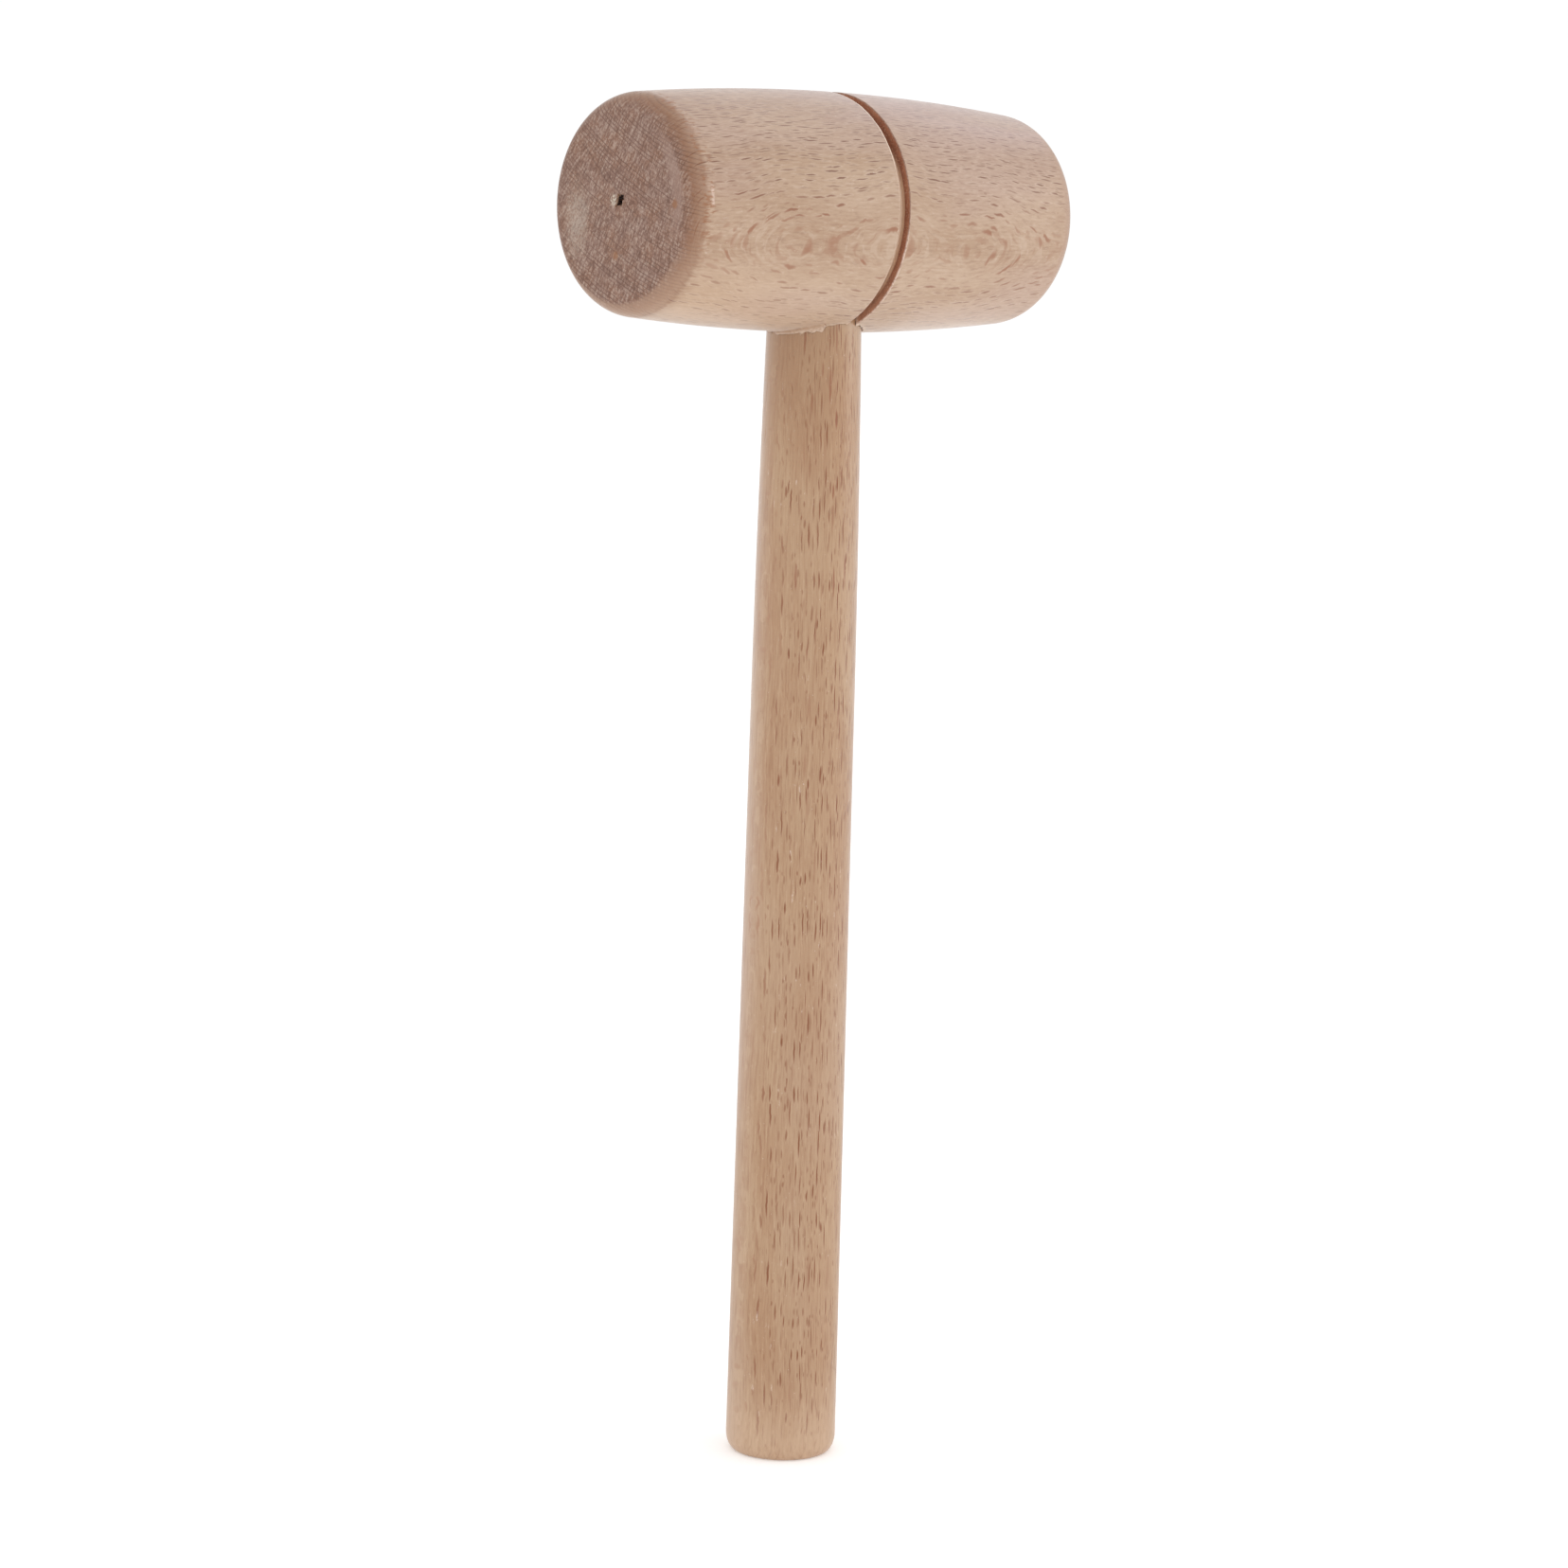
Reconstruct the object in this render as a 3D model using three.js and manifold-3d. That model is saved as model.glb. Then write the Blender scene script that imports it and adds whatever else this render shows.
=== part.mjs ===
// A carpenter's wooden mallet: a turned barrel head, glued on the tenon of a turned, tapered handle.
// Millimetres. +Z runs up the handle, X runs along the head, and the origin is the middle of the
// butt's flat end, on the handle's axis.

import * as THREE from 'three'
import { mergeVertices } from 'three/addons/utils/BufferGeometryUtils.js'
import Module from 'manifold-3d'

// ---------------------------------------------------------------- driving dimensions

const headLength = 131.2 // face to face
const headRadius = 30 // at the middle of the barrel, where it is thickest
const barrelEndRadius = 27.1 // where the barrel meets its rounded edges
const edgeLength = 5.4 // of a rounded edge, along the head
const faceRadius = 22.6 // of the flat part of a struck face
const headHeight = 318.9 // of the head's axis above the butt
const headOffset = 0.8 // of the head's middle from the handle's axis, along X

const grooveWidth = 3.3
const grooveDepth = 2.8
const grooveOffset = 1 // of the groove's middle from the head's middle, along X

const centreMarkRadius = 1.2 // of the pit that a lathe centre leaves in each face
const centreMarkDepth = 1.8

const buttRadius = 14.3
const buttFlatRadius = 11.9 // of the flat that the mallet stands on
const buttEdgeHeight = 4.6
const shaftTaper = 1.5 // that the radius loses between the butt and the head
const neckLength = 91 // of the stretch under the head that narrows faster
const neckFall = 0.8 // that the neck loses on top of the taper

const tenonLength = 45 // that the handle reaches into the head
const tenonChamfer = 1.2
const glueSpace = 1.2 // between the tenon's end and the bottom of the bore

const gap = 0.3 // between neighbouring pieces
const aroundHead = 64 // sides of the turned head
const aroundHandle = 48 // sides of the turned handle

// ---------------------------------------------------------------- values worked out from them

const faceX = headLength / 2
const edgeX = faceX - edgeLength
const headFoot = headHeight - headRadius
const neckStart = headFoot - neckLength
const taperRate = shaftTaper / headFoot
const tenonRate = taperRate + (2 * neckFall) / neckLength
const tenonEnd = headFoot + tenonLength

// ---------------------------------------------------------------- helpers

const wasm = await Module()
wasm.setup()

// The closed solid inside a geometry, for cutting and joining.
function toSolid(geometry) {
  const bare = geometry.clone()
  bare.deleteAttribute('normal')
  bare.deleteAttribute('uv')
  const merged = mergeVertices(bare, 1e-4)
  const triVerts = new Uint32Array(merged.index.array)
  const vertProperties = new Float32Array(merged.attributes.position.array)
  return new wasm.Manifold(new wasm.Mesh({ numProp: 3, vertProperties, triVerts }))
}

// The geometry of a solid.
function toGeometry(solid) {
  const mesh = solid.getMesh()
  const geometry = new THREE.BufferGeometry()
  geometry.setAttribute('position', new THREE.BufferAttribute(mesh.vertProperties, 3))
  geometry.setIndex(new THREE.BufferAttribute(mesh.triVerts, 1))
  geometry.computeVertexNormals()
  return geometry
}

// A turned solid about +Z from its outline: [radius, height] pairs, from axis to axis, going up.
function turned(outline, sides) {
  const points = outline.map(([radius, height]) => new THREE.Vector2(radius, height))
  return new THREE.LatheGeometry(points, sides).rotateX(Math.PI / 2)
}

// Points of a rounded corner, both ends included: the conic arc that leaves start towards corner and
// comes in to end from corner, which is a quarter of an ellipse where the corner is square.
function roundedCorner(start, corner, end, steps) {
  const points = []
  for (let i = 0; i <= steps; i++) {
    const t = i / steps
    const weights = [(1 - t) ** 2, Math.SQRT2 * t * (1 - t), t ** 2]
    const total = weights[0] + weights[1] + weights[2]
    const blend = (k) => (weights[0] * start[k] + weights[1] * corner[k] + weights[2] * end[k]) / total
    points.push([blend(0), blend(1)])
  }
  return points
}

function named(name, geometry, colour, roughness) {
  const material = new THREE.MeshStandardMaterial({ color: colour, roughness, metalness: 0 })
  const mesh = new THREE.Mesh(geometry, material)
  mesh.name = name
  return mesh
}

// ---------------------------------------------------------------- the head

// The barrel's radius at a distance from the head's middle: a shallow parabola.
function barrelRadius(x) {
  return headRadius - (headRadius - barrelEndRadius) * (x / edgeX) ** 2
}

// Points along the barrel's curve, both ends included.
function barrelCurve(from, to, steps) {
  const points = []
  for (let i = 0; i <= steps; i++) {
    const x = from + ((to - from) * i) / steps
    points.push([barrelRadius(x), x])
  }
  return points
}

// One end of the outline: the lathe mark's pit, the flat face and the rounded edge.
function faceEnd() {
  const slope = (2 * (headRadius - barrelEndRadius)) / edgeX
  const corner = [barrelEndRadius - slope * edgeLength, faceX]
  const edge = roundedCorner([faceRadius, faceX], corner, [barrelEndRadius, edgeX], 6)
  return [[0, faceX - centreMarkDepth], [centreMarkRadius, faceX], ...edge.slice(0, -1)]
}

// The barrel lies along X once it is turned over, with its middle on headOffset.
function layAlongX(geometry) {
  return geometry.rotateY(Math.PI / 2).translate(headOffset, 0, headHeight)
}

function barrelOutline(middle) {
  const farEnd = faceEnd()
  const nearEnd = faceEnd().map(([radius, x]) => [radius, -x])
  return [...nearEnd, ...middle, ...farEnd.reverse()]
}

function grooved() {
  const near = grooveOffset - grooveWidth / 2
  const far = grooveOffset + grooveWidth / 2
  const floor = headRadius - grooveDepth
  return [...barrelCurve(-edgeX, near, 8), [floor, near], [floor, far], ...barrelCurve(far, edgeX, 8)]
}

// The blind bore: the tenon's cone with a gap round it, and a space above the tenon's end.
function bore() {
  const bottom = headFoot - headRadius
  const top = tenonEnd + glueSpace
  const side = [bottom, headFoot, top].map((z) => [handleRadius(z) + gap, z])
  return toSolid(turned([[0, bottom], ...side, [0, top]], aroundHandle))
}

function head() {
  const barrel = toSolid(layAlongX(turned(barrelOutline(grooved()), aroundHead)))
  return toGeometry(barrel.subtract(bore()))
}

// ---------------------------------------------------------------- the handle

// The handle's radius at a height: a long taper, a neck that narrows faster, and the tenon's cone.
function handleRadius(z) {
  if (z > headFoot) return handleRadius(headFoot) - tenonRate * (z - headFoot)
  const neck = Math.max(0, (z - neckStart) / neckLength)
  return buttRadius - taperRate * z - neckFall * neck ** 2
}

function handleOutline() {
  const edgeTop = [handleRadius(buttEdgeHeight), buttEdgeHeight]
  const edge = roundedCorner([buttFlatRadius, 0], [edgeTop[0], 0], edgeTop, 6)
  const heights = []
  for (let i = 1; i <= 3; i++) heights.push(buttEdgeHeight + ((neckStart - buttEdgeHeight) * i) / 3)
  for (let i = 1; i <= 6; i++) heights.push(neckStart + (neckLength * i) / 6)
  heights.push(tenonEnd - tenonChamfer)
  const side = heights.map((z) => [handleRadius(z), z])
  const end = [handleRadius(tenonEnd) - tenonChamfer, tenonEnd]
  return [[0, 0], ...edge, ...side, end, [0, tenonEnd]]
}

// ---------------------------------------------------------------- the assembly

const mallet = new THREE.Group()
mallet.add(named('head', head(), 0xbfa590, 0.6))
mallet.add(named('handle', turned(handleOutline(), aroundHandle), 0xb08f72, 0.55))

export default mallet
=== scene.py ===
"""A carpenter's round mallet in turned beech, with its studio.

Metres, in the frame's own axes: +Z up the handle, X along the head, Y across it.
The two pieces are a barrel-shaped head with a blind bore, and a turned handle whose tenon is glued
into it. Each takes the place of the plain solid of the same name.
"""

import math

import bmesh
import bpy
from mathutils import Matrix, Vector, noise


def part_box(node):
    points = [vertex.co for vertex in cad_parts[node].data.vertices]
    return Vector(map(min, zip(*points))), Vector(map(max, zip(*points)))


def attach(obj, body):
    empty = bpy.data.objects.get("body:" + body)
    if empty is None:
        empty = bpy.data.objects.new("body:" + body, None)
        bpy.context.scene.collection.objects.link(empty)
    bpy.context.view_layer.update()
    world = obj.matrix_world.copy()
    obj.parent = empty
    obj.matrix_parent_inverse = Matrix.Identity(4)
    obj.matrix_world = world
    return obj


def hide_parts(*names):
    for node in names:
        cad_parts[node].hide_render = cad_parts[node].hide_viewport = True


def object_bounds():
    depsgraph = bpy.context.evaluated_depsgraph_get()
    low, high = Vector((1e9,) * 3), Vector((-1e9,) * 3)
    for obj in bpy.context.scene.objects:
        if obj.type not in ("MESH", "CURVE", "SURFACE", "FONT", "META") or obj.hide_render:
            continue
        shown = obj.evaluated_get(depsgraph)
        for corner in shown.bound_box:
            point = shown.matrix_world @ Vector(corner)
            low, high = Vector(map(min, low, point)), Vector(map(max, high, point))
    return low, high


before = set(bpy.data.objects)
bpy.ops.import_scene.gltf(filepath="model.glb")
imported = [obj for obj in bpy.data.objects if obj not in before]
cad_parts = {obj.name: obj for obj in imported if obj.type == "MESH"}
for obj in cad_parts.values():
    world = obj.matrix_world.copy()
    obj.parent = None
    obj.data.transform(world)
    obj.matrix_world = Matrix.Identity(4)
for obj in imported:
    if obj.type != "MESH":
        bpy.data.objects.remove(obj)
cad_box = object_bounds()

MM = 0.001

# ---------------------------------------------------------------- sizes, from the frame and by name

head_low, head_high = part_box("head")
handle_low, handle_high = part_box("handle")

HAIR = 0.02 * MM  # that the outer surfaces stay inside the frame's
HEAD_RADIUS = (head_high.y - head_low.y) / 2 - HAIR
HEAD_AXIS = cad_box[1].z - (head_high.y - head_low.y) / 2
HEAD_MIDDLE = (head_low.x + head_high.x) / 2
FACE_X = (head_high.x - head_low.x) / 2 - HAIR  # of a struck face from the head's middle
EDGE_LENGTH = 5.4 * MM
EDGE_X = FACE_X - EDGE_LENGTH
BARREL_END_RADIUS = 27.1 * MM
FACE_RADIUS = 22.6 * MM

GROOVE_WIDTH = 3.3 * MM
GROOVE_DEPTH = 2.8 * MM
GROOVE_OFFSET = 1 * MM  # of its middle from the head's middle
LIP_RADIUS = 0.2 * MM
GROOVE_CORNER = 0.2 * MM  # the rounding where a wall meets the floor

MARK_DEPTH = 1.8 * MM  # of the pit left by a lathe centre
MARK_HALF_WIDTH = 0.95 * MM
MARK_HALF_HEIGHT = 1.25 * MM
MARK_LEAN = math.radians(20)
MARK_RISE = 0.9 * MM  # of the near face's mark above the middle of the face
MARK_REACH = 3 * MM  # from the middle of a face, inside which the mark and its torn fibres lie
TORN_GRAIN = 0.5 * MM  # the size of the roughness in and round the mark

BUTT_RADIUS = (handle_high.x - handle_low.x) / 2 - HAIR
BUTT_FLAT_RADIUS = 11.9 * MM
BUTT_EDGE_HEIGHT = 4.6 * MM
SHAFT_TAPER = 1.5 * MM
NECK_LENGTH = 91 * MM
NECK_FALL = 0.8 * MM
HEAD_FOOT = HEAD_AXIS - HEAD_RADIUS
NECK_START = HEAD_FOOT - NECK_LENGTH
TAPER_RATE = SHAFT_TAPER / HEAD_FOOT
TENON_RATE = TAPER_RATE + 2 * NECK_FALL / NECK_LENGTH

TENON_END = handle_high.z
TENON_CHAMFER = 1.2 * MM
TENON_GAP = 0.1 * MM  # round the tenon inside the bore
GLUE_SPACE = 1.2 * MM  # between the tenon's end and the bottom of the bore

BURR_REACH = 1.8 * MM  # of torn fibres, out from the bore's mouth
BURR_HEIGHT = 0.8 * MM
FLAP_HEIGHT = 1.35 * MM  # where they hang in one piece, on the near side
FLAP_X = -6.5 * MM  # the flap is on the near side of this and in front of FLAP_Y
FLAP_Y = 1 * MM

UNEVEN = 0.03 * MM  # how far the lathe's surfaces stray inwards
AROUND_HEAD = 288
AROUND_BORE = 480
AROUND_HANDLE = 192
FINE_BARREL = 15 * MM  # the barrel's mesh is finer this near its middle, round the bore's mouth
CREASE = math.radians(35)


# ---------------------------------------------------------------- mesh helpers

def steps(start, end, count):
    """Evenly spaced numbers from start to end, both included."""
    return [start + (end - start) * i / count for i in range(count + 1)]


def rounded_corner(start, corner, end, count):
    """Points on the conic arc that leaves start towards corner and comes in to end from corner."""
    points = []
    for t in steps(0, 1, count):
        weights = ((1 - t) ** 2, math.sqrt(2) * t * (1 - t), t**2)
        total = sum(weights)
        blend = [sum(w * p[k] for w, p in zip(weights, (start, corner, end))) / total for k in (0, 1)]
        points.append(tuple(blend))
    return points


def ring_mesh(name, rings, first_pole, last_pole):
    """A closed mesh from rings of points, with a pole at each end."""
    work = bmesh.new()
    loops = [[work.verts.new(point) for point in ring] for ring in rings]
    count = len(loops[0])
    for near, far in zip(loops, loops[1:]):
        for i in range(count):
            j = (i + 1) % count
            work.faces.new((near[i], near[j], far[j], far[i]))
    first = work.verts.new(first_pole)
    last = work.verts.new(last_pole)
    for i in range(count):
        j = (i + 1) % count
        work.faces.new((first, loops[0][j], loops[0][i]))
        work.faces.new((last, loops[-1][i], loops[-1][j]))
    bmesh.ops.recalc_face_normals(work, faces=work.faces)
    mesh = bpy.data.meshes.new(name)
    work.to_mesh(mesh)
    work.free()
    piece = bpy.data.objects.new(name, mesh)
    bpy.context.scene.collection.objects.link(piece)
    return piece


def cut_out(piece, cutter):
    """Cuts another closed mesh out of a piece, and throws the cutter away."""
    modifier = piece.modifiers.new("cut", "BOOLEAN")
    modifier.operation = "DIFFERENCE"
    modifier.solver = "EXACT"
    modifier.object = cutter
    settled = bpy.context.evaluated_depsgraph_get()
    mesh = bpy.data.meshes.new_from_object(piece.evaluated_get(settled))
    piece.modifiers.clear()
    piece.data = mesh
    bpy.data.objects.remove(cutter)


def shade_smooth(piece):
    """Smooth shading, with a crease wherever two faces meet at a large angle."""
    for face in piece.data.polygons:
        face.use_smooth = True
    piece.data.set_sharp_from_angle(angle=CREASE)


def turns(count):
    """Evenly spaced angles, once round."""
    return [2 * math.pi * i / count for i in range(count)]


def on_circle(radius, angle, z):
    """A point at a height, on a circle round the handle's axis."""
    return Vector((radius * math.cos(angle), radius * math.sin(angle), z))


# ---------------------------------------------------------------- the head

def barrel_radius(x):
    """At a distance from the head's middle: a shallow parabola."""
    return HEAD_RADIUS - (HEAD_RADIUS - BARREL_END_RADIUS) * (x / EDGE_X) ** 2


def barrel_height(x, y):
    """Of the barrel's upper side above its axis, at a place in the frame."""
    return math.sqrt(barrel_radius(x - HEAD_MIDDLE) ** 2 - y**2)


def face_outline():
    """[distance from the middle, radius] from the middle of a struck face out to the barrel."""
    slope = 2 * (HEAD_RADIUS - BARREL_END_RADIUS) / EDGE_X
    corner = (FACE_X, BARREL_END_RADIUS - slope * EDGE_LENGTH)
    mark = [(FACE_X, radius) for radius in steps(0.08 * MM, 2.8 * MM, 34)]
    flat = [(FACE_X, radius) for radius in steps(3.2 * MM, FACE_RADIUS, 20)]
    edge = rounded_corner((FACE_X, FACE_RADIUS), corner, (EDGE_X, BARREL_END_RADIUS), 20)
    return mark + flat + edge[1:]


def lip(x, towards):
    """A softened corner between the barrel and a groove wall; towards is +1 or -1, into the groove."""
    outer = (x - towards * LIP_RADIUS, barrel_radius(x))
    inner = (x, barrel_radius(x) - LIP_RADIUS)
    return rounded_corner(outer, (x, barrel_radius(x)), inner, 4)


def groove_outline():
    """[x, radius] from the near lip down one wall, over the floor and up to the far lip."""
    near = GROOVE_OFFSET - GROOVE_WIDTH / 2
    far = GROOVE_OFFSET + GROOVE_WIDTH / 2
    floor = HEAD_RADIUS - GROOVE_DEPTH
    foot = (near, floor + GROOVE_CORNER)
    wall = steps(barrel_radius(near) - LIP_RADIUS, foot[1], 5)[1:-1]
    near_corner = rounded_corner(foot, (near, floor), (near + GROOVE_CORNER, floor), 4)
    far_corner = [(near + far - x, radius) for x, radius in reversed(near_corner)]
    bottom = [(x, floor) for x in steps(near + GROOVE_CORNER, far - GROOVE_CORNER, 5)[1:-1]]
    near_side = lip(near, 1) + [(near, radius) for radius in wall] + near_corner
    far_side = far_corner + [(far, radius) for radius in reversed(wall)] + lip(far, -1)[::-1]
    return near_side + bottom + far_side


def head_outline():
    """[x, radius] of the turned head, from the middle of the near face to that of the far one."""
    groove = groove_outline()
    near_stops = steps(-EDGE_X, -FINE_BARREL, 32)[:-1] + steps(-FINE_BARREL, groove[0][0], 26)
    far_stops = steps(groove[-1][0], FINE_BARREL, 26)[:-1] + steps(FINE_BARREL, EDGE_X, 32)
    near_barrel = [(x, barrel_radius(x)) for x in near_stops]
    far_barrel = [(x, barrel_radius(x)) for x in far_stops]
    near_face = [(-x, radius) for x, radius in face_outline()]
    far_face = face_outline()[::-1]
    return near_face[:-1] + near_barrel[:-1] + groove + far_barrel[1:] + far_face[1:]


def lathe_mark(x, y, z):
    """How far the surface of a struck face drops at a place: the pit, and the fibres torn beside it."""
    side = -1 if x < 0 else 1
    rise = MARK_RISE if x < 0 else 0
    across, up = -side * y, z - HEAD_AXIS - rise
    leaned = across + up * math.tan(MARK_LEAN)
    ragged = 0.36 * noise.noise(Vector((y, z, side * MM)) / TORN_GRAIN)
    reach = max(abs(leaned) / MARK_HALF_WIDTH, abs(up) / MARK_HALF_HEIGHT) + ragged
    pit = min(1, max(0, (1.15 - reach) / 0.5))
    torn_reach = math.hypot(across + 1.6 * MM, up + 0.2 * MM) / (1.5 * MM)
    torn = max(0, 1 - torn_reach) * max(0, noise.noise(Vector((y, z, x)) / TORN_GRAIN) + 0.35)
    return MARK_DEPTH * pit + 0.5 * MM * torn


def groove_wander(x, angle):
    """How far a groove wall strays along the head, at an angle round it."""
    off = x - GROOVE_OFFSET
    if abs(off) > GROOVE_WIDTH / 2 + LIP_RADIUS:
        return 0
    around = Vector((math.cos(angle), math.sin(angle), math.copysign(0.4, off)))
    return 0.12 * MM * noise.noise(around * 13) * min(1, abs(off) / MM)


def head_point(x, radius, angle):
    """A point of the turned surface, with its slight unevenness, in the frame."""
    x = x + groove_wander(x, angle)
    y = radius * math.sin(angle)
    z = HEAD_AXIS + radius * math.cos(angle)
    place = Vector((x, y, z))
    uneven = UNEVEN * (0.5 + 0.5 * noise.noise(place / (14 * MM)))
    if radius < FACE_RADIUS:
        drop = uneven
        if radius < MARK_REACH:
            drop = drop + lathe_mark(x, y, z)
        return Vector((HEAD_MIDDLE + x - math.copysign(drop, x), y, z))
    swell = 1 - (uneven - burr(HEAD_MIDDLE + x, y, z)) / radius
    return Vector((HEAD_MIDDLE + x, y * swell, HEAD_AXIS + (z - HEAD_AXIS) * swell))


def burr(x, y, z):
    """How far torn fibres stand out of the barrel at a place round the bore's mouth."""
    outside = math.hypot(x, y) - handle_radius(HEAD_FOOT)
    if z > HEAD_AXIS or outside > BURR_REACH:
        return 0
    near = 1 - max(0, outside) / BURR_REACH
    torn = 0.55 + 1.2 * noise.noise(Vector((x / 3, y, 0)) / (1.3 * MM))
    if x < FLAP_X and y < FLAP_Y:
        return FLAP_HEIGHT * near * max(0.6, torn)
    amount = 1 if x < FLAP_X else 0.4 if x < 5 * MM else 0.1  # less towards the far side
    return BURR_HEIGHT * near * max(0, torn) * amount


def turned_head():
    """The head as it comes from the lathe, with no bore."""
    angles = turns(AROUND_HEAD)
    rings = [[head_point(x, radius, angle) for angle in angles] for x, radius in head_outline()]
    poles = [sum(ring, Vector()) / len(ring) for ring in (rings[0], rings[-1])]
    return ring_mesh("mallet_head", rings, poles[0], poles[1])


def chipped(angle, above):
    """How far the bore's mouth is broken back, at an angle and a distance in from the surface."""
    around = on_circle(1, angle, 3.1)
    amount = 1 if around.x < 0.4 else 0.5  # less on the far side
    if around.x < -0.54 and around.y < 0.1:
        amount = 0.3  # behind the flap of torn fibres, which would be cut away with it
    coarse = max(0, noise.noise(around * 5.5) + 0.12) * amount
    fine = 0.5 + 0.5 * noise.noise(around * 19 + Vector((0, 0, above / MM)))
    reach = max(0, 1 - above / (1.3 * MM)) ** 1.5
    return (1.9 * coarse + 0.25 * fine * amount) * MM * reach


def bore_cutter():
    """The bore as a closed plug: the tenon's cone with a gap round it, and its torn mouth."""
    rings = []
    for depth in [-4, -1, 0] + steps(0.12, 1.4, 9) + [2, 4]:
        rings.append([mouth_point(angle, depth * MM) for angle in turns(AROUND_BORE)])
    top = TENON_END + GLUE_SPACE
    for z in (HEAD_FOOT + 10 * MM, top):
        radius = handle_radius(z) + TENON_GAP
        rings.append([on_circle(radius, angle, z) for angle in turns(AROUND_BORE)])
    return ring_mesh("bore", rings, Vector((0, 0, rings[0][0].z)), Vector((0, 0, top)))


def mouth_point(angle, depth):
    """A point of the bore's wall at a depth in from the barrel's underside."""
    plain = handle_radius(HEAD_FOOT) + TENON_GAP
    z = HEAD_AXIS - barrel_height(plain * math.cos(angle), plain * math.sin(angle)) + depth
    return on_circle(handle_radius(z) + TENON_GAP + chipped(angle, max(0, depth)), angle, z)


def build_head():
    head = turned_head()
    cut_out(head, bore_cutter())
    shade_smooth(head)
    return head


# ---------------------------------------------------------------- the handle

def handle_radius(z):
    """A long taper, a neck that narrows faster, and the tenon's cone."""
    if z > HEAD_FOOT:
        return handle_radius(HEAD_FOOT) - TENON_RATE * (z - HEAD_FOOT)
    neck = max(0, (z - NECK_START) / NECK_LENGTH)
    return BUTT_RADIUS - TAPER_RATE * z - NECK_FALL * neck**2


def handle_point(radius, z, angle):
    """A point of the turned stick, with its slight unevenness."""
    place = on_circle(radius, angle, z)
    uneven = UNEVEN * (0.5 + 0.5 * noise.noise(Vector((place.x, place.y, z / 4)) / (9 * MM)))
    shrink = 1 - uneven / radius
    return Vector((place.x * shrink, place.y * shrink, z))


def handle_outline():
    """[radius, height] from the middle of the butt to the middle of the tenon's end."""
    edge_top = (handle_radius(BUTT_EDGE_HEIGHT), BUTT_EDGE_HEIGHT)
    edge = rounded_corner((BUTT_FLAT_RADIUS, HAIR), (edge_top[0], HAIR), edge_top, 14)
    flat = [(radius, HAIR) for radius in steps(0.8 * MM, BUTT_FLAT_RADIUS, 10)[:-1]]
    chamfer = TENON_END - TENON_CHAMFER
    side = [(handle_radius(z), z) for z in steps(BUTT_EDGE_HEIGHT, chamfer, 220)[1:]]
    end_radius = handle_radius(TENON_END) - TENON_CHAMFER
    end = [(radius, TENON_END) for radius in steps(end_radius, 0.8 * MM, 10)]
    return flat + edge + side + end


def build_handle():
    angles = turns(AROUND_HANDLE)
    rings = [[handle_point(radius, z, angle) for angle in angles] for radius, z in handle_outline()]
    handle = ring_mesh("mallet_handle", rings, Vector((0, 0, HAIR)), Vector((0, 0, TENON_END)))
    shade_smooth(handle)
    return handle


# ---------------------------------------------------------------- shader arithmetic

class Signal:
    """A number in a shader's node tree. Arithmetic on it adds the nodes that work it out."""

    def __init__(self, tree, socket):
        self.tree = tree
        self.socket = socket

    def math(self, operation, *others):
        node = self.tree.nodes.new("ShaderNodeMath")
        node.operation = operation
        for socket, value in zip(node.inputs, (self, *others)):
            feed(self.tree, socket, value)
        return Signal(self.tree, node.outputs[0])

    def __add__(self, other):
        return self.math("ADD", other)

    def __sub__(self, other):
        return self.math("SUBTRACT", other)

    def __mul__(self, other):
        return self.math("MULTIPLY", other)

    def __truediv__(self, other):
        return self.math("DIVIDE", other)

    def squared(self):
        return self.math("MULTIPLY", self)

    def ramp(self, start, end, low=0.0, high=1.0):
        """Eases from low at start to high at end, and is level outside."""
        node = self.tree.nodes.new("ShaderNodeMapRange")
        node.interpolation_type = "SMOOTHSTEP"
        for socket, value in zip(node.inputs, (self, start, end, low, high)):
            feed(self.tree, socket, value)
        return Signal(self.tree, node.outputs[0])


def feed(tree, socket, value):
    """Links a signal or a socket to an input, or sets the input to a plain value."""
    if isinstance(value, Signal):
        tree.links.new(value.socket, socket)
    elif isinstance(value, bpy.types.NodeSocket):
        tree.links.new(value, socket)
    else:
        socket.default_value = value


def band(signal, low, high, blur):
    """1 where a signal is between low and high, falling to 0 over the blur on either side."""
    return signal.ramp(low - blur, low) * signal.ramp(high + blur, high)


def vector_of(tree, *signals):
    """Three numbers as one vector's socket."""
    node = tree.nodes.new("ShaderNodeCombineXYZ")
    for socket, signal in zip(node.inputs, signals):
        feed(tree, socket, signal)
    return node.outputs[0]


def parts_of(tree, vector):
    """The three numbers in a vector or a colour."""
    node = tree.nodes.new("ShaderNodeSeparateXYZ")
    feed(tree, node.inputs[0], vector)
    return [Signal(tree, socket) for socket in node.outputs]


def vector_math(tree, operation, first, second):
    node = tree.nodes.new("ShaderNodeVectorMath")
    node.operation = operation
    feed(tree, node.inputs[0], first)
    feed(tree, node.inputs[1], second)
    return node


def dot(tree, vector, direction):
    return Signal(tree, vector_math(tree, "DOT_PRODUCT", vector, tuple(direction)).outputs["Value"])


def noise_node(tree, vector, scale, detail, roughness):
    node = tree.nodes.new("ShaderNodeTexNoise")
    feed(tree, node.inputs["Vector"], vector)
    node.inputs["Scale"].default_value = scale
    node.inputs["Detail"].default_value = detail
    node.inputs["Roughness"].default_value = roughness
    return node


def noise_at(tree, vector, scale, detail=2.0, roughness=0.5):
    """Fractal noise, centred on 0.5. Scale is in waves a mm."""
    return Signal(tree, noise_node(tree, vector, scale, detail, roughness).outputs["Fac"])


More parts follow.
